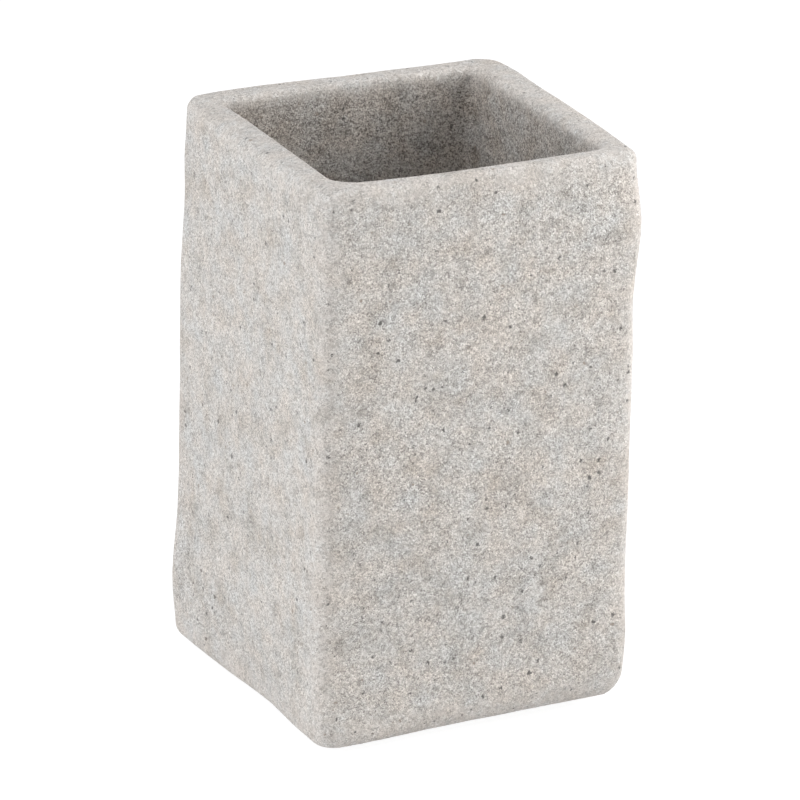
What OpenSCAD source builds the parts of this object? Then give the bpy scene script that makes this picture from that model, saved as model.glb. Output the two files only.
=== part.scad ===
// Square bathroom tumbler, cast in one piece from polyresin filled with fine quartz sand.
// Four stick-on bumper feet hold its base off the shelf. Millimetres, +Z up, the shelf at zero.

/* [Body] */
// Width across the plain left and right faces
body_w = 64.5; // [58:0.5:75]
// Depth across the plain front and back faces
body_d = 64.5; // [58:0.5:75]
// Height of the cast body without its feet
body_h = 108.4; // [80:0.2:140]
// Wall thickness at the rim
wall_t = 5.5; // [4.5:0.1:8]
// Thickness of the floor
floor_t = 8; // [5:0.5:14]
// How much the cavity narrows on each side from the rim to the floor, so that the core draws
draft_w = 1.2; // [0.4:0.1:3]

/* [Edges] */
// Radius of the upright corners outside
corner_r = 3; // [2:0.1:6]
// Radius of the upright corners inside
cavity_corner_r = 4; // [2.5:0.1:8]
// Radius of the rim's outer edge
rim_outer_r = 2; // [1:0.1:4]
// Radius of the rim's inner edge
rim_inner_r = 1.5; // [1:0.1:4]
// Radius of the foot edge round the base
base_r = 4.5; // [2:0.1:6]
// Radius where the cavity's walls meet its floor
floor_r = 5; // [2:0.1:9]

/* [Hand finish] */
// Rise of a full swell of the hand-dressed faces
swell_h = 1; // [0.2:0.1:1.6]

/* [Feet] */
// Diameter of a foot where it is stuck on
foot_w = 9.6; // [7:0.2:12]
// Diameter of a foot's sole
sole_w = 8.4; // [5:0.2:10]
// Height of a foot
foot_h = 1.2; // [0.8:0.1:2.5]
// Worn edge round a foot's sole
sole_edge_r = 0.3; // [0.1:0.05:0.5]
// Thickness of a foot's adhesive disc
adhesive_t = 0.2; // [0.1:0.05:0.5]
// How far the adhesive disc stops short of the foot's edge
adhesive_inset = 0.3; // [0.1:0.1:1]
// Distance from the body's plain faces to each foot's centre
foot_inset = 14; // [13:0.5:18]

/* [Hidden] */
$fn = 64;

base_z = foot_h + adhesive_t;
cavity_w = body_w - 2 * wall_t;
cavity_d = body_d - 2 * wall_t;
foot_x = body_w / 2 - foot_inset;
foot_y = body_d / 2 - foot_inset;

// A place round the body is counted in sides from the front left corner, counterclockwise
// from above: 0 to 1 is the front, then the right, back and left. A height is a share of body_h.
sides = 4;

// The part of a side's count that each of its two half corners takes
corner_share = 0.1;

// Each swell or hollow of the outside: its place round the body in sides, its height share,
// its reach along and up as shares of a side and of the height, and its rise in full swells
outside_swell_shares = [
    [3.00, 0.12, 0.30, 0.10, 1.1],   // the back left corner spreads at its foot
    [3.00, 0.83, 0.30, 0.09, -0.7],  // and is worn back near its top
    [3.00, 0.99, 0.15, 0.08, -1.3],
    [1.00, 0.00, 0.12, 0.05, -0.4],  // the front right corner waves from foot to rim
    [1.00, 0.12, 0.20, 0.06, 0.4],
    [1.00, 0.72, 0.20, 0.06, -0.4],
    [1.00, 0.86, 0.20, 0.05, 0.6],
    [1.00, 0.98, 0.20, 0.05, -0.9],
    [1.65, 1.00, 0.45, 0.25, 1.8],   // the right face leans out towards the back
    [1.85, 1.00, 0.14, 0.15, 0.9],   // and most of all beside the back right corner
    [2.70, 1.00, 0.25, 0.15, 0.6],   // the back face swells under the rim
    [0.15, 0.04, 0.20, 0.06, 1.0],   // the front face stands forward at its left foot
    [3.60, 0.02, 0.20, 0.06, -1.1],  // and a hollow runs along the left face's foot
    [3.93, 0.04, 0.10, 0.06, -0.7]];

// The same for the cavity, where a rise makes the wall thinner
cavity_swell_shares = [
    [0.40, 1.00, 0.35, 0.40, 1.2],   // the front wall thins in its middle
    [3.15, 1.00, 0.45, 0.40, -1.0]]; // the left wall thickens towards the back

// How round the base and the rim are at each corner, as shares of their radii
base_round_shares = [0.7, 1.35, 1.0, 0.65];
rim_round_shares = [1.0, 1.2, 1.0, 0.85];
// How round the cavity's upright corners are, as shares of their radius, and the least that
// an upright corner keeps where the skin draws in
cavity_corner_shares = [1.0, 0.8, 0.55, 0.8];
least_corner_share = 0.25;
// How fast each outside corner tightens as the base and the rim draw in; below zero it widens
tighten_shares = [-0.7, 0.9, 0.3, 0.3];

// The most of the local wall that each of the rim's two roundings may take
rim_limit_share = 0.46;

// Steps of the mesh: per corner, per side, up the walls and round each edge
corner_steps = 6;
side_steps = 8;
outside_steps = 20;
cavity_steps = 7;
edge_steps = 4;

function total(list, i = 0) = i < len(list) ? list[i] + total(list, i + 1) : 0;

// Distance round the body between two places, the short way
function apart(u, place) = min(abs(u - place), sides - abs(u - place));

// Outward rise of a face at place u and height share v: the sum of its swells and hollows,
// each of which falls away like a bell curve
function rise(u, v, shares) = swell_h * total([for (s = shares)
    s[4] * exp(-pow(apart(u, s[0]) / s[2], 2) - pow((v - s[1]) / s[3], 2))]);

// A value given at the four corners, blended smoothly round the body
function blend(u, corner_shares) = total([for (k = [0 : sides - 1])
    corner_shares[k] * pow(cos(90 * min(apart(u, k), 1)), 2)]);

// The point at place u of a rounded rectangle, pushed outwards
function plan_point(u, half_x, half_y, r, push) =
    let (side = floor(u), t = u - side,
        along = [cos(90 * side), sin(90 * side)],
        out = [sin(90 * side), -cos(90 * side)],
        half_along = side % 2 == 0 ? half_x : half_y,
        half_out = side % 2 == 0 ? half_y : half_x,
        turn = t < corner_share ? -45 * (1 - t / corner_share)
            : t > 1 - corner_share ? 45 * (t - 1 + corner_share) / corner_share : 0,
        run = min(1, max(-1, 2 * (t - corner_share) / (1 - 2 * corner_share) - 1)),
        facing = out * cos(turn) + along * sin(turn))
    along * run * (half_along - r) + out * (half_out - r) + facing * (r + push);

// A point of the outside, set in from the plain faces, and one of the cavity, set out from its walls
function outside_point(u, inset, z) =
    let (p = plan_point(u, body_w / 2 - inset, body_d / 2 - inset,
        max(corner_r - inset * blend(u, tighten_shares), least_corner_share * corner_r),
        rise(u, z / body_h, outside_swell_shares)))
    [p.x, p.y, base_z + z];
function cavity_point(u, outset, z) =
    let (drawn = outset - draft_w * (body_h - z) / (body_h - floor_t),
        p = plan_point(u, cavity_w / 2 + drawn, cavity_d / 2 + drawn,
            max(cavity_corner_r * blend(u, cavity_corner_shares) + drawn,
                least_corner_share * cavity_corner_r),
            rise(u, z / body_h, cavity_swell_shares)))
    [p.x, p.y, base_z + z];

// The edge radii at place u, each kept within the wall that carries it
function wall_at(u) = wall_t + rise(u, 1, outside_swell_shares) - rise(u, 1, cavity_swell_shares);
function base_r_at(u) = base_r * blend(u, base_round_shares);
function rim_outer_r_at(u) = min(rim_outer_r * blend(u, rim_round_shares), rim_limit_share * wall_at(u));
function rim_inner_r_at(u) = min(rim_inner_r, rim_limit_share * wall_at(u));

// Places round the body, closer together at the corners
places = [for (side = [0 : sides - 1]) each concat(
    [for (i = [0 : corner_steps / 2 - 1]) side + corner_share * i / (corner_steps / 2)],
    [for (i = [0 : side_steps]) side + corner_share + (1 - 2 * corner_share) * i / side_steps],
    [for (i = [1 : corner_steps / 2 - 1]) side + 1 - corner_share * (1 - i / (corner_steps / 2))])];
quarter = [for (i = [0 : edge_steps]) 90 * i / edge_steps];

// Rings of points from the base up the outside, over the rim and down to the cavity's floor
body_rings = concat(
    [for (a = quarter) [for (u = places) let (r = base_r_at(u))
        outside_point(u, r * (1 - sin(a)), r * (1 - cos(a)))]],
    [for (i = [1 : outside_steps - 1]) [for (u = places)
        let (low = base_r_at(u), high = body_h - rim_outer_r_at(u))
        outside_point(u, 0, low + (high - low) * i / outside_steps)]],
    [for (a = quarter) [for (u = places) let (r = rim_outer_r_at(u))
        outside_point(u, r * (1 - cos(a)), body_h - r * (1 - sin(a)))]],
    [for (a = quarter) [for (u = places) let (r = rim_inner_r_at(u))
        cavity_point(u, r * (1 - sin(a)), body_h - r * (1 - cos(a)))]],
    [for (i = [1 : cavity_steps - 1]) [for (u = places)
        let (high = body_h - rim_inner_r_at(u), low = floor_t + floor_r)
        cavity_point(u, 0, high + (low - high) * i / cavity_steps)]],
    [for (a = quarter) [for (u = places)
        cavity_point(u, -floor_r * (1 - cos(a)), floor_t + floor_r * (1 - sin(a)))]]);

// A closed skin over rings of equal length, capped flat at its first and last ring
module skin(rings) {
    n = len(rings[0]);
    last = len(rings) - 1;
    polyhedron(
        points = [for (ring = rings) each ring],
        faces = concat(
            [[for (j = [0 : n - 1]) j]],
            [for (i = [0 : last - 1], j = [0 : n - 1]) each
                let (a = i * n + j, b = i * n + (j + 1) % n)
                [[a, a + n, b + n], [a, b + n, b]]],
            [[for (j = [0 : n - 1]) last * n + n - 1 - j]]),
        convexity = 6);
}

module body() color("#cdc8c2") skin(body_rings);

// A bumper foot, narrower at its sole, with its worn edge
module foot(x, y) color("#dcdcd8") translate([x, y, 0]) rotate_extrude() polygon([
    [0, 0], [sole_w / 2 - sole_edge_r, 0], [sole_w / 2, sole_edge_r],
    [foot_w / 2, foot_h], [0, foot_h]]);

// The adhesive disc between a foot and the base
module adhesive(x, y) color("#e8e4d4") translate([x, y, foot_h])
    cylinder(h = adhesive_t, d = foot_w - 2 * adhesive_inset);

module foot_front_left() foot(-foot_x, -foot_y);
module foot_front_right() foot(foot_x, -foot_y);
module foot_back_right() foot(foot_x, foot_y);
module foot_back_left() foot(-foot_x, foot_y);
module adhesive_front_left() adhesive(-foot_x, -foot_y);
module adhesive_front_right() adhesive(foot_x, -foot_y);
module adhesive_back_right() adhesive(foot_x, foot_y);
module adhesive_back_left() adhesive(-foot_x, foot_y);

body();
foot_front_left();
foot_front_right();
foot_back_right();
foot_back_left();
adhesive_front_left();
adhesive_front_right();
adhesive_back_right();
adhesive_back_left();
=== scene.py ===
"""A square bathroom tumbler cast from sand-filled resin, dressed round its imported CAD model."""

import math

import bpy
import numpy as np
from mathutils import Matrix, Vector


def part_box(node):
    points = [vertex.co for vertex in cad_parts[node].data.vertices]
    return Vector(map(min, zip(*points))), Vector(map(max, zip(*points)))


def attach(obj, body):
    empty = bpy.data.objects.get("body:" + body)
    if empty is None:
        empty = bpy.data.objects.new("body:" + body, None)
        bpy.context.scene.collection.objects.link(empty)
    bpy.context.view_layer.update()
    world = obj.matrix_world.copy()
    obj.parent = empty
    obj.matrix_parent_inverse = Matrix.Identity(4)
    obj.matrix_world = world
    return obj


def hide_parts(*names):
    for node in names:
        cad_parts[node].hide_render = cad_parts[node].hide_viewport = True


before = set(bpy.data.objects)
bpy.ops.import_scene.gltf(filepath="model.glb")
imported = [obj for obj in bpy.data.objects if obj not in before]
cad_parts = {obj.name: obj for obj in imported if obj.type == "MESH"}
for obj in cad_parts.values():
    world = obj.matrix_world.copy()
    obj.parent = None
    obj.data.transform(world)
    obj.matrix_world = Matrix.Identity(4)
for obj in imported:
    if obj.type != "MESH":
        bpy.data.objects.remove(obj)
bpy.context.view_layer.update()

# The cast body
# One casting of clear polyester resin packed with fine quartz sand, poured round a tapered core
# in a soft mould. Its faces, rim and base edge were dressed by hand, so they wave a little.

MM = 0.001
BODY_LOW, BODY_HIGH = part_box("body")
BODY_H = BODY_HIGH[2] - BODY_LOW[2]
BODY_W = 64.5 * MM
BODY_D = 64.5 * MM
WALL_T = 5.5 * MM
FLOOR_T = 8.0 * MM
DRAFT_W = 1.2 * MM
CORNER_R = 3.0 * MM
CAVITY_CORNER_R = 4.0 * MM
RIM_OUTER_R = 2.0 * MM
RIM_INNER_R = 1.5 * MM
BASE_R = 4.5 * MM
FLOOR_R = 5.0 * MM
SWELL_H = 1.0 * MM

# A place round the body is counted in sides from the front left corner, counterclockwise from
# above, and half a corner takes this share of a side
SIDES = 4
CORNER_SHARE = 0.1
# Each row is a swell or a hollow: its place, its height as a share of the body's, its reach along
# and up, and its rise in full swells. A rise of the cavity makes the wall thinner.
OUTSIDE_SWELL_SHARES = (
    (3.00, 0.12, 0.30, 0.10, 1.1),
    (3.00, 0.83, 0.30, 0.09, -0.7),
    (3.00, 0.99, 0.15, 0.08, -1.3),
    (1.00, 0.00, 0.12, 0.05, -0.4),
    (1.00, 0.12, 0.20, 0.06, 0.4),
    (1.00, 0.72, 0.20, 0.06, -0.4),
    (1.00, 0.86, 0.20, 0.05, 0.6),
    (1.00, 0.98, 0.20, 0.05, -0.9),
    (1.65, 1.00, 0.45, 0.25, 1.8),
    (1.85, 1.00, 0.14, 0.15, 0.9),
    (2.70, 1.00, 0.25, 0.15, 0.6),
    (0.15, 0.04, 0.20, 0.06, 1.0),
    (3.60, 0.02, 0.20, 0.06, -1.1),
    (3.93, 0.04, 0.10, 0.06, -0.7),
)
CAVITY_SWELL_SHARES = (
    (0.40, 1.00, 0.35, 0.40, 1.2),
    (3.15, 1.00, 0.45, 0.40, -1.0),
)
# How round the base, the rim and the cavity's upright corners are at each corner of the body, as
# shares of their radii
BASE_ROUND_SHARES = (0.7, 1.35, 1.0, 0.65)
RIM_ROUND_SHARES = (1.0, 1.2, 1.0, 0.85)
CAVITY_CORNER_SHARES = (1.0, 0.8, 0.55, 0.8)
# How fast each outside corner tightens as the base and the rim draw in, where below zero it
# widens, and the least of its radius that it keeps
TIGHTEN_SHARES = (-0.7, 0.9, 0.3, 0.3)
LEAST_CORNER_SHARE = 0.25
# The most of the local wall that each of the rim's two roundings may take
RIM_LIMIT_SHARE = 0.46

# Steps of the mesh: in half a corner, along a side, round an edge, and up or across the rest
HALF_CORNER_STEPS = 7
SIDE_STEPS = 84
EDGE_STEPS = 8
OUTSIDE_STEPS = 122
CAVITY_STEPS = 60
UNDERSIDE_STEPS = 16
FLOOR_STEPS = 14

# The dressing left hollows of these sizes, up to these depths
RELIEF = (
    (14.0 * MM, 0.12 * MM),
    (5.0 * MM, 0.09 * MM),
    (1.9 * MM, 0.05 * MM),
)
RELIEF_SEED = 11
# The left rim was dressed down towards its outer edge: its place, its reach along and down the
# wall, and how far it sinks there
LEAN_PLACE = 3.5
LEAN_ALONG = 0.4
LEAN_DOWN = 3.0 * MM
RIM_LEAN = 1.0 * MM
# How far the rubbed finish of an edge, with its painted sheen, reaches onto the faces: in millimetres
# from the rim and the base, and at an upright corner as a share of the corner, where it starts and how
# fast it ends
EDGE_REACH = 1.6 * MM
CORNER_RUB_AND_SHEEN_STARTS = 0.6
CORNER_RUB_AND_SHEEN_ENDS = 0.5


def apart(u, place):
    """Distance round the body between two places, the short way."""
    return np.minimum(np.abs(u - place), SIDES - np.abs(u - place))


def rise(u, v, shares):
    """Outward rise of a face: the sum of its swells, each falling away like a bell curve."""
    return SWELL_H * sum(
        height * np.exp(-((apart(u, place) / along) ** 2) - ((v - level) / up) ** 2)
        for place, level, along, up, height in shares
    )


def blend(u, corner_shares):
    """A value given at the four corners, blended round the body by the cosine squared."""
    return sum(
        share * np.cos(math.pi / 2 * np.minimum(apart(u, corner), 1)) ** 2
        for corner, share in enumerate(corner_shares)
    )


def plan_point(u, half_x, half_y, radius, push):
    """The point at place u of a rounded rectangle, pushed outwards: a straight run along each
    side, and at each corner an arc, with an eighth of a turn on both sides of it."""
    side = np.floor(u)
    t = u - side
    angle = side * math.pi / 2
    along = np.stack([np.cos(angle), np.sin(angle)], -1)
    out = np.stack([np.sin(angle), -np.cos(angle)], -1)
    half_along = np.where(side % 2 == 0, half_x, half_y)
    half_out = np.where(side % 2 == 0, half_y, half_x)
    past_start = np.minimum(t / CORNER_SHARE - 1, 0)
    before_end = np.maximum((t - 1) / CORNER_SHARE + 1, 0)
    turn = math.pi / 4 * (past_start + before_end)
    run = np.clip(2 * (t - CORNER_SHARE) / (1 - 2 * CORNER_SHARE) - 1, -1, 1)
    facing = out * np.cos(turn)[..., None] + along * np.sin(turn)[..., None]
    centre = along * (run * (half_along - radius))[..., None]
    centre = centre + out * (half_out - radius)[..., None]
    return centre + facing * (radius + push)[..., None]


def outside_skin(u, inset, z):
    """The outer face at place u and height z, set in from the plain faces and swollen out."""
    u, inset, z = np.broadcast_arrays(u, inset, z)
    corner_r = CORNER_R - inset * blend(u, TIGHTEN_SHARES)
    radius = np.maximum(corner_r, LEAST_CORNER_SHARE * CORNER_R)
    push = rise(u, z / BODY_H, OUTSIDE_SWELL_SHARES)
    plan = plan_point(u, BODY_W / 2 - inset, BODY_D / 2 - inset, radius, push)
    return np.concatenate([plan, (BODY_LOW[2] + z)[..., None]], -1)


def cavity_skin(u, outset, z):
    """The cavity's face at place u and height z, drawn in towards the floor by the draft."""
    u, outset, z = np.broadcast_arrays(u, outset, z)
    drawn = outset - DRAFT_W * (BODY_H - z) / (BODY_H - FLOOR_T)
    corner_r = CAVITY_CORNER_R * blend(u, CAVITY_CORNER_SHARES)
    radius = np.maximum(corner_r + drawn, LEAST_CORNER_SHARE * CAVITY_CORNER_R)
    push = rise(u, z / BODY_H, CAVITY_SWELL_SHARES)
    plan = plan_point(u, BODY_W / 2 - WALL_T + drawn, BODY_D / 2 - WALL_T + drawn, radius, push)
    return np.concatenate([plan, (BODY_LOW[2] + z)[..., None]], -1)


def sand_height(points, size, seed):
    """Smooth random heights from 0 to 1: seeded values on a cubic lattice of the given spacing,
    blended between its corners by the smoothstep of the place within each cell."""
    place = (points - points.reshape(-1, 3).min(0)) / size
    cell = np.floor(place).astype(int)
    t = place - cell
    t = t * t * (3 - 2 * t)
    lattice = np.random.default_rng(seed).random(cell.reshape(-1, 3).max(0) + 2)
    total = 0
    for corner in np.ndindex(2, 2, 2):
        weight = np.where(np.array(corner) == 1, t, 1 - t).prod(-1)
        x, y, z = np.moveaxis(cell + corner, -1, 0)
        total = total + weight * lattice[x, y, z]
    return total


def grid_normals(points):
    """Outward unit normals of a grid closed round its second axis: the cross product of the
    differences round the body and up the skin."""
    around = np.roll(points, -1, 1) - np.roll(points, 1, 1)
    up = np.gradient(points, axis=0)
    normal = np.cross(around, up)
    return normal / np.linalg.norm(normal, axis=-1, keepdims=True)


def closed_mesh(name, points):
    """A smooth mesh over rings of points, closed by a fan at the middle of its first and last ring."""
    rings, around, _ = points.shape
    index = np.arange(rings * around).reshape(rings, around)
    beside = np.roll(index, -1, 1)
    quads = np.stack([index[:-1], beside[:-1], beside[1:], index[1:]], -1).reshape(-1, 4)
    first, last = rings * around, rings * around + 1
    start_fan = np.stack([np.full(around, first), beside[0], index[0]], -1)
    end_fan = np.stack([index[-1], beside[-1], np.full(around, last)], -1)
    vertices = np.concatenate([points.reshape(-1, 3), points[[0, -1]].mean(1)])
    mesh = bpy.data.meshes.new(name)
    mesh.from_pydata(vertices.tolist(), [], quads.tolist() + start_fan.tolist() + end_fan.tolist())
    mesh.polygons.foreach_set("use_smooth", np.full(len(mesh.polygons), True))
    piece = bpy.data.objects.new(name, mesh)
    bpy.context.scene.collection.objects.link(piece)
    return piece


def between(low, high, steps):
    """Rings evenly spaced between two heights, with both of those left out."""
    return low + (high - low) * (np.arange(1, steps) / steps)[:, None]


half_corner = CORNER_SHARE * np.arange(HALF_CORNER_STEPS) / HALF_CORNER_STEPS
straight = CORNER_SHARE + (1 - 2 * CORNER_SHARE) * np.arange(SIDE_STEPS) / SIDE_STEPS
one_side = np.concatenate([half_corner, straight, 1 - CORNER_SHARE + half_corner])
places = (np.arange(SIDES)[:, None] + one_side).reshape(1, -1)
quarter = np.linspace(0, math.pi / 2, EDGE_STEPS + 1)[:, None]

wall_here = WALL_T + rise(places, 1, OUTSIDE_SWELL_SHARES) - rise(places, 1, CAVITY_SWELL_SHARES)
base_r = BASE_R * blend(places, BASE_ROUND_SHARES)
rim_limit = RIM_LIMIT_SHARE * wall_here
rim_outer_r = np.minimum(RIM_OUTER_R * blend(places, RIM_ROUND_SHARES), rim_limit)
rim_inner_r = np.minimum(RIM_INNER_R, rim_limit)

base_edge = outside_skin(places, base_r * (1 - np.sin(quarter)), base_r * (1 - np.cos(quarter)))
outer_wall = outside_skin(places, 0, between(base_r, BODY_H - rim_outer_r, OUTSIDE_STEPS))
rim_outside = outside_skin(
    places, rim_outer_r * (1 - np.cos(quarter)), BODY_H - rim_outer_r * (1 - np.sin(quarter)))
rim_inside = cavity_skin(
    places, rim_inner_r * (1 - np.sin(quarter)), BODY_H - rim_inner_r * (1 - np.cos(quarter)))
cavity_wall = cavity_skin(
    places, 0, between(BODY_H - rim_inner_r, FLOOR_T + FLOOR_R, CAVITY_STEPS))
floor_edge = cavity_skin(
    places, -FLOOR_R * (1 - np.cos(quarter)), FLOOR_T + FLOOR_R * (1 - np.sin(quarter)))


def drawn_to_middle(ring, shares):
    """Rings that shrink from a flat ring to its middle by the given shares."""
    middle = ring.mean(0)
    return middle + (ring - middle) * shares[:, None, None]


underside = drawn_to_middle(base_edge[0], np.arange(1, UNDERSIDE_STEPS) / UNDERSIDE_STEPS)
cavity_floor = drawn_to_middle(floor_edge[-1], 1 - np.arange(1, FLOOR_STEPS) / FLOOR_STEPS)
skin = np.concatenate([
    underside, base_edge, outer_wall, rim_outside,
    rim_inside, cavity_wall, floor_edge, cavity_floor])

# The left rim is dressed down, and then every face sinks by its hollows
from_top = BODY_LOW[2] + BODY_H - skin[..., 2]
from_left = np.clip((skin[..., 0] + BODY_W / 2) / WALL_T, 0, 1)
lean = np.exp(-((apart(places, LEAN_PLACE) / LEAN_ALONG) ** 2) - (from_top / LEAN_DOWN) ** 2)
skin[..., 2] -= RIM_LEAN * lean * (1 - from_left)

relief = sum(
    depth * sand_height(skin, size, RELIEF_SEED + i) for i, (size, depth) in enumerate(RELIEF))
dressed = skin - grid_normals(skin) * relief[..., None]
body = closed_mesh("tumbler_body", dressed)

# Where the edges are rubbed and carry a painted sheen, and where the cavity starts
from_corner = np.abs(places - np.round(places)) / CORNER_SHARE
corner_wear_and_sheen = np.exp(-(np.maximum(from_corner - CORNER_RUB_AND_SHEEN_STARTS, 0) / CORNER_RUB_AND_SHEEN_ENDS) ** 2)
height = skin[..., 2] - BODY_LOW[2]
edge_wear_and_sheen = np.exp(-(np.maximum(height - BASE_R, 0) / EDGE_REACH) ** 2)
rim_wear_and_sheen = np.exp(-(np.maximum(BODY_H - RIM_OUTER_R - height, 0) / EDGE_REACH) ** 2)
outer_rings = len(underside) + len(base_edge) + len(outer_wall) + len(rim_outside)
outer = np.arange(len(skin))[:, None] < outer_rings
outer_wear_and_sheen = np.maximum(np.maximum(corner_wear_and_sheen, edge_wear_and_sheen), rim_wear_and_sheen)
worn = np.where(outer, outer_wear_and_sheen, rim_wear_and_sheen)
in_cavity = np.clip((BODY_H - RIM_INNER_R - height) / EDGE_REACH, 0, 1) * ~outer
for attribute, values in (("worn", worn), ("in_cavity", in_cavity)):
    of_points = body.data.attributes.new(attribute, "FLOAT", "POINT")
    fan_middles = [values[0].mean(), values[-1].mean()]
    of_points.data.foreach_set("value", np.append(values.ravel(), fan_middles))


def linear(hex_colour):
    """An sRGB hex colour as linear red, green, blue and alpha, by the sRGB curve."""
    parts = [int(hex_colour[i:i + 2], 16) / 255 for i in (1, 3, 5)]
    return [p / 12.92 if p <= 0.04045 else ((p + 0.055) / 1.055) ** 2.4 for p in parts] + [1.0]


def new_material(name):
    """A material with a node tree that holds only its shader and its output."""
    material = bpy.data.materials.new(name)
    material.use_nodes = True
    tree = material.node_tree
    return tree, tree.nodes["Principled BSDF"], material


def add_node(tree, kind, inputs, **settings):
    """Adds a node with its settings. Each input is a value, or the socket that it is linked to."""
    node = tree.nodes.new(kind)
    for name, value in settings.items():
        setattr(node, name, value)
    for key, value in inputs.items():
        if isinstance(value, bpy.types.NodeSocket):
            tree.links.new(value, node.inputs[key])
        else:
            node.inputs[key].default_value = value
    return node


def set_ramp(node, stops):
    """Gives a colour ramp its stops, each a place and an sRGB hex colour."""
    elements = node.color_ramp.elements
    while len(elements) < len(stops):
        elements.new(0.5)
    for element, (place, hex_colour) in zip(elements, stops):
        element.position = place
        element.color = linear(hex_colour)


# Quartz-filled polyester resin, cast and then dressed with an abrasive block. Each grain keeps a
# tone of its own in the clear resin and fine dark seams run between the grains, so it looks
# granular from close by and an even warm grey from a step away. Rubbed edges are more even and
# smoother, and are painted a little lighter as a sheen.

# Sizes of the quartz grains and of the grit between them, and of the finest grit, which is drawn
# a pixel of the photograph wide because the real one is too fine to show
GRAIN_SIZE = 0.62 * MM
GRIT_SIZE = 0.30 * MM
FINE_SIZE = 0.19 * MM
# How closely and how far the outlines of grains and grit wander
WARP_SIZE = 0.7 * MM
WARP_REACH = 0.5 * MM
# Sizes of the mottles, the clusters of darker grains, the warm and cool areas, the wide patches
# and the patches of the rub and its painted sheen, and how far apart the black grains lie
MOTTLE_SIZE = 1.4 * MM
CLUSTER_SIZE = 2.6 * MM
TINT_SIZE = 5.0 * MM
PATCH_SIZE = 6.5 * MM
RUB_AND_SHEEN_PATCH_SIZE = 1.3 * MM
FLECK_SPACING = 1.9 * MM
# How much each layer adds to the tone, from 0 for the darkest grain to 1 for the whitest
MEAN_TONE = 0.63
GRAIN_WEIGHT = 0.18
GRIT_WEIGHT = 0.47
SEAM_WEIGHT = 0.07
FINE_WEIGHT = 1.30
MOTTLE_WEIGHT = 0.12
CLUSTER_WEIGHT = 0.15
# How wide a seam is, as a share of a grain, and where in its noise a cluster starts and is full
SEAM_SHARE = 0.12
CLUSTER_STARTS = 0.58
CLUSTER_FULL = 0.72
# Colours of the sand from its darkest to its whitest grains, and the tints of its areas
TONE_STOPS = (
    (0.00, "#6a6662"),
    (0.25, "#97928e"),
    (0.50, "#beb9b5"),
    (0.75, "#ddd9d5"),
    (1.00, "#f7f4f1"),
)
TINT_STOPS = (
    (0.30, "#fffbf7"),
    (0.70, "#f7fafc"),
)
# How far a patch sways its grains towards the dark or the light ones
PATCH_SWAY = 0.9
# Where the noise of the wide patches starts to darken them, where it does so fully, and to what
PATCH_STARTS = 0.5
PATCH_FULL = 0.3
PATCH_TINT = "#f3f1ee"
# Painted shade: the colour that the cavity's walls and floor are multiplied by, standing in for the
# shade of its depth
CAVITY_PAINTED_SHADE = "#e8e6e4"
# Where the rub starts and is full in its noise, how much it covers at most, and its colour: partly
# the real rubbed resin, partly a painted sheen that lightens the edges
RUB_AND_SHEEN_STARTS = 0.35
RUB_AND_SHEEN_FULL = 0.6
RUB_AND_SHEEN_COVER = 0.45
RUBBED_SHEEN_COLOUR = "#d3ccc6"
# Which cells hold a black grain and how far it reaches, as a share of its spacing; how much the
# grit breaks its outline, how soft that is, and how much the grain covers
FLECK_FROM = 0.3
FLECK_REACH = 0.28
FLECK_BREAK = 0.22
FLECK_SOFT_FROM = -0.02
FLECK_SOFT_TO = 0.08
FLECK_COVER = 0.85
FLECK_STOPS = (
    (0.60, "#4b4946"),
    (0.70, "#988c80"),
)
# How much stronger the tones differ on the undressed walls of the cavity
CAVITY_CONTRAST = 1.5
# The depth of the grains, and how much the finest grit, the grains, the mottles and the wide
# patches each raise the surface, counted in it
GRAIN_RELIEF = 0.10 * MM
FINE_RISE = 0.4
GRAIN_RISE = 0.8
MOTTLE_RISE = 2.4
PATCH_RISE = 4.0
# How far a grain's dome reaches from its seam, as a share of a grain, and how much of the relief a
# rubbed edge keeps
DOME_SHARE = 0.25
RUBBED_BUMP = 0.3
# The roughness of the dullest and of the glossiest grain
DULL_GRAIN = 0.85
GLOSSY_GRAIN = 0.45

stone_tree, stone_shader, stone = new_material("quartz_filled_cast_resin")
coords = add_node(stone_tree, "ShaderNodeTexCoord", {}).outputs["Object"]
worn_here = add_node(stone_tree, "ShaderNodeAttribute", {}, attribute_name="worn").outputs["Fac"]
inside_here = add_node(
    stone_tree, "ShaderNodeAttribute", {}, attribute_name="in_cavity").outputs["Fac"]

# A warp of the coordinates makes the grains as uneven and long as crushed quartz
warp = add_node(stone_tree, "ShaderNodeTexNoise", {"Vector": coords, "Scale": 1 / WARP_SIZE})
warped = add_node(stone_tree, "ShaderNodeVectorMath", {
    0: warp.outputs["Color"], 1: [WARP_REACH] * 3, 2: coords},
    operation="MULTIPLY_ADD").outputs["Vector"]
grains = add_node(stone_tree, "ShaderNodeTexVoronoi", {"Vector": warped, "Scale": 1 / GRAIN_SIZE})
grain_pick = add_node(stone_tree, "ShaderNodeSeparateColor", {"Color": grains.outputs["Color"]})
grit = add_node(stone_tree, "ShaderNodeTexVoronoi", {"Vector": warped, "Scale": 1 / GRIT_SIZE})
grit_pick = add_node(stone_tree, "ShaderNodeSeparateColor", {"Color": grit.outputs["Color"]})
patches = add_node(stone_tree, "ShaderNodeTexNoise", {
    "Vector": coords, "Scale": 1 / PATCH_SIZE, "Detail": 4.0})
patch_sway = add_node(stone_tree, "ShaderNodeMapRange", {
    "Value": patches.outputs["Fac"],
    "To Min": -0.5 - PATCH_SWAY / 2, "To Max": -0.5 + PATCH_SWAY / 2})
grain_tone = add_node(stone_tree, "ShaderNodeMath", {
    0: grain_pick.outputs["Red"], 1: patch_sway.outputs["Result"]}, operation="ADD")
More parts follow.
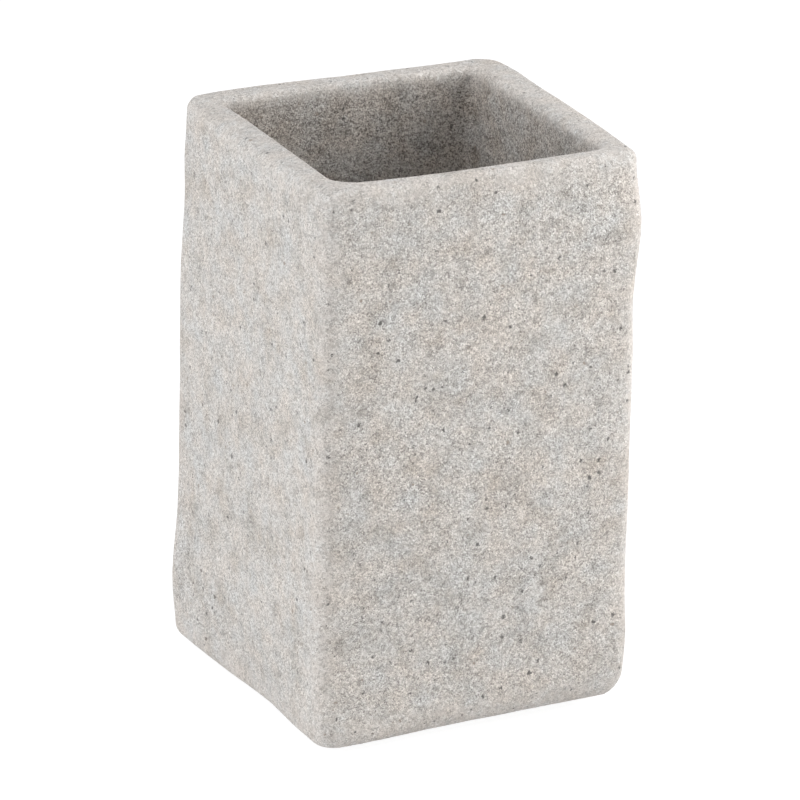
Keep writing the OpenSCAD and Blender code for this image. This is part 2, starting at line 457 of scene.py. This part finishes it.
seams = add_node(stone_tree, "ShaderNodeTexVoronoi",
                 {"Vector": warped, "Scale": 1 / GRAIN_SIZE}, feature="DISTANCE_TO_EDGE")
seam_depth = add_node(stone_tree, "ShaderNodeMapRange", {
    "Value": seams.outputs["Distance"], "From Max": SEAM_SHARE,
    "To Min": -SEAM_WEIGHT, "To Max": 0.0})
fine = add_node(stone_tree, "ShaderNodeTexNoise", {
    "Vector": coords, "Scale": 1 / FINE_SIZE, "Detail": 1.0})
mottle = add_node(stone_tree, "ShaderNodeTexNoise", {
    "Vector": coords, "Scale": 1 / MOTTLE_SIZE, "Detail": 2.0})
cluster_noise = add_node(stone_tree, "ShaderNodeTexNoise", {
    "Vector": coords, "Scale": 1 / CLUSTER_SIZE, "Detail": 2.0})
clusters = add_node(stone_tree, "ShaderNodeMapRange", {
    "Value": cluster_noise.outputs["Fac"], "From Min": CLUSTER_STARTS, "From Max": CLUSTER_FULL})
tone = seam_depth.outputs["Result"]
for layer, middle, weight in (
        (grain_tone.outputs["Value"], 0.0, GRAIN_WEIGHT),
        (grit_pick.outputs["Red"], 0.5, GRIT_WEIGHT),
        (fine.outputs["Fac"], 0.5, FINE_WEIGHT),
        (mottle.outputs["Fac"], 0.5, MOTTLE_WEIGHT),
        (clusters.outputs["Result"], 0.0, -CLUSTER_WEIGHT)):
    off_middle = add_node(
        stone_tree, "ShaderNodeMath", {0: layer, 1: middle}, operation="SUBTRACT")
    tone = add_node(stone_tree, "ShaderNodeMath", {
        0: off_middle.outputs["Value"], 1: weight, 2: tone},
        operation="MULTIPLY_ADD").outputs["Value"]
contrast = add_node(stone_tree, "ShaderNodeMapRange", {
    "Value": inside_here, "To Min": 1.0, "To Max": CAVITY_CONTRAST})
full_tone = add_node(stone_tree, "ShaderNodeMath", {
    0: tone, 1: contrast.outputs["Result"], 2: MEAN_TONE}, operation="MULTIPLY_ADD")
tone_ramp = add_node(stone_tree, "ShaderNodeValToRGB", {"Fac": full_tone.outputs["Value"]})
set_ramp(tone_ramp, TONE_STOPS)

# The sand is a little warmer in some patches and a little cooler in others
tints = add_node(stone_tree, "ShaderNodeTexNoise", {
    "Vector": coords, "Scale": 1 / TINT_SIZE, "Detail": 2.0})
tint = add_node(stone_tree, "ShaderNodeValToRGB", {"Fac": tints.outputs["Fac"]})
set_ramp(tint, TINT_STOPS)
tinted = add_node(stone_tree, "ShaderNodeMixRGB", {
    "Fac": 1.0, "Color1": tone_ramp.outputs["Color"], "Color2": tint.outputs["Color"]},
    blend_type="MULTIPLY")
patch_mask = add_node(stone_tree, "ShaderNodeMapRange", {
    "Value": patches.outputs["Fac"], "From Min": PATCH_STARTS, "From Max": PATCH_FULL})
patched = add_node(stone_tree, "ShaderNodeMixRGB", {
    "Fac": patch_mask.outputs["Result"],
    "Color1": tinted.outputs["Color"], "Color2": linear(PATCH_TINT)},
    blend_type="MULTIPLY")

# The rub of the dressing evens out the tone, in patches, and a painted sheen lightens the rubbed
# edges, rim and base edge
rub_and_sheen_patches = add_node(stone_tree, "ShaderNodeTexNoise", {
    "Vector": coords, "Scale": 1 / RUB_AND_SHEEN_PATCH_SIZE})
rub_and_sheen_mask = add_node(stone_tree, "ShaderNodeMapRange", {
    "Value": rub_and_sheen_patches.outputs["Fac"],
    "From Min": RUB_AND_SHEEN_STARTS, "From Max": RUB_AND_SHEEN_FULL, "To Min": 0.0, "To Max": RUB_AND_SHEEN_COVER})
rubbed_and_sheen_here = add_node(stone_tree, "ShaderNodeMath", {
    0: worn_here, 1: rub_and_sheen_mask.outputs["Result"]}, operation="MULTIPLY").outputs["Value"]
rubbed_and_sheen = add_node(stone_tree, "ShaderNodeMixRGB", {
    "Fac": rubbed_and_sheen_here, "Color1": patched.outputs["Color"], "Color2": linear(RUBBED_SHEEN_COLOUR)})

# Painted shade: the cavity is darkened below its rim, where its depth shades it
shaded = add_node(stone_tree, "ShaderNodeMixRGB", {
    "Fac": inside_here, "Color1": rubbed_and_sheen.outputs["Color"], "Color2": linear(CAVITY_PAINTED_SHADE)},
    blend_type="MULTIPLY")

# Sparse black mineral grains: a cell holds one only where its random value is high, and its
# outline is broken by the grit
flecks = add_node(stone_tree, "ShaderNodeTexVoronoi", {"Vector": coords, "Scale": 1 / FLECK_SPACING})
fleck_pick = add_node(stone_tree, "ShaderNodeSeparateColor", {"Color": flecks.outputs["Color"]})
fleck_reach = add_node(stone_tree, "ShaderNodeMapRange", {
    "Value": fleck_pick.outputs["Red"],
    "From Min": FLECK_FROM, "To Min": 0.0, "To Max": FLECK_REACH})
fleck_gap = add_node(stone_tree, "ShaderNodeMath", {
    0: flecks.outputs["Distance"], 1: fleck_reach.outputs["Result"]}, operation="SUBTRACT")
fleck_outline = add_node(stone_tree, "ShaderNodeMath", {
    0: grit_pick.outputs["Green"], 1: FLECK_BREAK, 2: fleck_gap.outputs["Value"]},
    operation="MULTIPLY_ADD")
fleck_mask = add_node(stone_tree, "ShaderNodeMapRange", {
    "Value": fleck_outline.outputs["Value"],
    "From Min": FLECK_SOFT_FROM, "From Max": FLECK_SOFT_TO, "To Min": FLECK_COVER, "To Max": 0.0})
fleck_colour = add_node(stone_tree, "ShaderNodeValToRGB", {"Fac": fleck_pick.outputs["Green"]})
set_ramp(fleck_colour, FLECK_STOPS)
flecked = add_node(stone_tree, "ShaderNodeMixRGB", {
    "Fac": fleck_mask.outputs["Result"], "Color1": shaded.outputs["Color"],
    "Color2": fleck_colour.outputs["Color"]})
stone_tree.links.new(flecked.outputs["Color"], stone_shader.inputs["Base Color"])

# Each grain is a low dome of its own height on the finer and wider unevenness of the surface
dome = add_node(stone_tree, "ShaderNodeMapRange", {
    "Value": seams.outputs["Distance"], "From Max": DOME_SHARE, "To Max": GRAIN_RISE},
    interpolation_type="SMOOTHSTEP")
height_here = add_node(stone_tree, "ShaderNodeMath", {
    0: grain_pick.outputs["Red"], 1: dome.outputs["Result"]}, operation="MULTIPLY").outputs["Value"]
for layer, layer_rise in (
        (fine.outputs["Fac"], FINE_RISE),
        (mottle.outputs["Fac"], MOTTLE_RISE),
        (patches.outputs["Fac"], PATCH_RISE)):
    height_here = add_node(stone_tree, "ShaderNodeMath", {
        0: layer, 1: layer_rise, 2: height_here}, operation="MULTIPLY_ADD").outputs["Value"]
bump_strength = add_node(stone_tree, "ShaderNodeMapRange", {
    "Value": rubbed_and_sheen_here, "To Min": 1.0, "To Max": RUBBED_BUMP})
bump = add_node(stone_tree, "ShaderNodeBump", {
    "Strength": bump_strength.outputs["Result"], "Distance": GRAIN_RELIEF, "Height": height_here})
stone_tree.links.new(bump.outputs["Normal"], stone_shader.inputs["Normal"])
grain_gloss = add_node(stone_tree, "ShaderNodeMapRange", {
    "Value": grain_pick.outputs["Blue"], "To Min": DULL_GRAIN, "To Max": GLOSSY_GRAIN})
stone_tree.links.new(grain_gloss.outputs["Result"], stone_shader.inputs["Roughness"])
body.data.materials.append(stone)

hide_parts("body")
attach(body, "root")


# The feet
# Four small bumpers of clear moulded rubber, stuck under the base near its corners so that the
# casting neither scratches nor slides.

# Clear soft rubber with a satin moulded skin and a faint haze of wear in it
HAZE_SIZE = 1.5 * MM
HAZE_STOPS = (
    (0.35, "#c9c8c3"),
    (0.65, "#dcdcd8"),
)
FOOT_ROUGHNESS = 0.35

foot_tree, foot_shader, foot_rubber = new_material("moulded_clear_rubber")
foot_coords = add_node(foot_tree, "ShaderNodeTexCoord", {}).outputs["Object"]
haze = add_node(foot_tree, "ShaderNodeTexNoise", {
    "Vector": foot_coords, "Scale": 1 / HAZE_SIZE, "Detail": 3.0})
haze_tone = add_node(foot_tree, "ShaderNodeValToRGB", {"Fac": haze.outputs["Fac"]})
set_ramp(haze_tone, HAZE_STOPS)
foot_tree.links.new(haze_tone.outputs["Color"], foot_shader.inputs["Base Color"])
foot_shader.inputs["Roughness"].default_value = FOOT_ROUGHNESS
CORNERS = ("front_left", "front_right", "back_right", "back_left")
for corner in CORNERS:
    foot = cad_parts["foot_" + corner]
    for slot in foot.material_slots:
        slot.material = foot_rubber


# The adhesive discs
# A thin die-cut disc of acrylic adhesive holds each bumper to the base. Its rim shows as a fine
# line between the rubber and the stone.

# A faintly yellow film, darker where it has wetted the stone
WETTING_SIZE = 0.8 * MM
WETTING_STOPS = (
    (0.40, "#d9d4c2"),
    (0.60, "#e8e4d4"),
)
GLUE_ROUGHNESS = 0.4

glue_tree, glue_shader, adhesive_film = new_material("acrylic_adhesive_film")
glue_coords = add_node(glue_tree, "ShaderNodeTexCoord", {}).outputs["Object"]
wetting = add_node(glue_tree, "ShaderNodeTexNoise", {
    "Vector": glue_coords, "Scale": 1 / WETTING_SIZE, "Detail": 2.0})
wetting_tone = add_node(glue_tree, "ShaderNodeValToRGB", {"Fac": wetting.outputs["Fac"]})
set_ramp(wetting_tone, WETTING_STOPS)
glue_tree.links.new(wetting_tone.outputs["Color"], glue_shader.inputs["Base Color"])
glue_shader.inputs["Roughness"].default_value = GLUE_ROUGHNESS
for corner in CORNERS:
    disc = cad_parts["adhesive_" + corner]
    for slot in disc.material_slots:
        slot.material = adhesive_film


# The view
# A long lens from the front left, a little above, as the photograph was taken. The numbers in
# pixels are of its 800 by 800 frame.

AZIMUTH = math.radians(-26.6)
ELEVATION = math.radians(20.1)
ROLL = math.radians(-1.2)
FRAME_PX = 800
FOCAL_PX = 6000
PX_PER_MM = 5.36
SEEN_CENTRE_PX = (402.5, 398.0)
CAMERA_AIM_H = 54.45 * MM
SENSOR_MM = 36


def direction(azimuth, elevation):
    """The unit vector towards a direction, in radians round from the front and up."""
    level = math.cos(elevation)
    return Vector((math.sin(azimuth) * level, -math.cos(azimuth) * level, math.sin(elevation)))


back = direction(AZIMUTH, ELEVATION)
level_right = Vector((math.cos(AZIMUTH), math.sin(AZIMUTH), 0))
level_up = back.cross(level_right)
right = level_right * math.cos(ROLL) - level_up * math.sin(ROLL)
up = level_right * math.sin(ROLL) + level_up * math.cos(ROLL)
pixel = MM / PX_PER_MM
aim = Vector((0, 0, BODY_LOW[2] + CAMERA_AIM_H))
aim -= right * (SEEN_CENTRE_PX[0] - FRAME_PX / 2) * pixel
aim += up * (SEEN_CENTRE_PX[1] - FRAME_PX / 2) * pixel
camera = bpy.data.objects.new("camera", bpy.data.cameras.new("camera"))
camera.data.sensor_width = SENSOR_MM
camera.data.lens = SENSOR_MM * FOCAL_PX / FRAME_PX
turned = Matrix((right, up, back)).transposed().to_4x4()
camera.matrix_world = Matrix.Translation(aim + back * FOCAL_PX * pixel) @ turned
bpy.context.scene.collection.objects.link(camera)
bpy.context.scene.camera = camera
bpy.context.scene.view_settings.view_transform = "Standard"


# The studio
# A white table under a white sky, with six soft boxes: a low and a high one to the left, a weak
# one low in front of the near corner, one far and one near to the right, and one overhead.

# Each box's azimuth and elevation in degrees, its distance and size in metres, its watts and tint
SOFT_BOXES = {
    "left_low_box": (-95, 5, 1.0, 0.6, 3.9, "#fafcfe"),
    "left_high_box": (-95, 35, 1.0, 0.6, 2.35, "#fafcfe"),
    "front_low_box": (-35, 5, 0.6, 0.4, 0.46, "#fffdfa"),
    "right_side_box": (85, 10, 0.6, 0.4, 1.0, "#fffefc"),
    "right_near_box": (50, 27, 0.3, 0.18, 0.44, "#fffefc"),
    "top_box": (0, 88, 0.9, 0.7, 2.3, "#fafcfe"),
}
TABLE_W = 6
TABLE_COLOUR = "#e6e6e6"
TABLE_ROUGHNESS = 0.9
# Seen directly, the table is white by a glow of its own and a little of the light that falls on
# it, which keeps the tumbler's shadow
GLOW = 0.93
SHADOWED_COLOUR = "#808080"
WHITE = "#ffffff"
# How bright the sky is as a light, where a sky seen directly is 1
SKY_FILL = 0.35

for box_name, (azimuth, elevation, distance, width, watts, colour) in SOFT_BOXES.items():
    towards = direction(math.radians(azimuth), math.radians(elevation))
    lamp = bpy.data.lights.new(box_name, "AREA")
    lamp.size = width
    lamp.energy = watts
    lamp.color = linear(colour)[:3]
    box = bpy.data.objects.new(box_name, lamp)
    facing = towards.to_track_quat("Z", "Y").to_matrix().to_4x4()
    box.matrix_world = Matrix.Translation(aim + towards * distance) @ facing
    bpy.context.scene.collection.objects.link(box)


def background_rays(tree):
    """One for a ray that sees the plain background directly, in a gloss or through glass."""
    ray = add_node(tree, "ShaderNodeLightPath", {})
    direct = add_node(tree, "ShaderNodeMath", {
        0: ray.outputs["Is Camera Ray"], 1: ray.outputs["Is Glossy Ray"]}, operation="MAXIMUM")
    any_ray = add_node(tree, "ShaderNodeMath", {
        0: direct.outputs["Value"], 1: ray.outputs["Is Transmission Ray"]}, operation="MAXIMUM")
    return any_ray.outputs["Value"]


bpy.ops.mesh.primitive_plane_add(size=TABLE_W)
floor = bpy.context.object
floor.name = "table_top"
table_tree, table_shader, table = new_material("white_table")
table_shader.inputs["Base Color"].default_value = linear(TABLE_COLOUR)
table_shader.inputs["Roughness"].default_value = TABLE_ROUGHNESS
glow = add_node(table_tree, "ShaderNodeEmission", {"Color": linear(WHITE), "Strength": GLOW})
dim = add_node(table_tree, "ShaderNodeBsdfDiffuse", {"Color": linear(SHADOWED_COLOUR)})
both = add_node(table_tree, "ShaderNodeAddShader", {0: glow.outputs[0], 1: dim.outputs[0]})
pick = add_node(table_tree, "ShaderNodeMixShader",
                {0: background_rays(table_tree), 1: table_shader.outputs[0], 2: both.outputs[0]})
table_tree.links.new(pick.outputs[0], table_tree.nodes["Material Output"].inputs["Surface"])
floor.data.materials.append(table)

world = bpy.data.worlds.new("studio")
world.use_nodes = True
bpy.context.scene.world = world
world_tree = world.node_tree
sky_light = add_node(world_tree, "ShaderNodeMapRange", {
    "Value": background_rays(world_tree), "To Min": SKY_FILL, "To Max": 1.0})
sky = world_tree.nodes["Background"]
sky.inputs["Color"].default_value = linear(WHITE)
world_tree.links.new(sky_light.outputs[0], sky.inputs["Strength"])
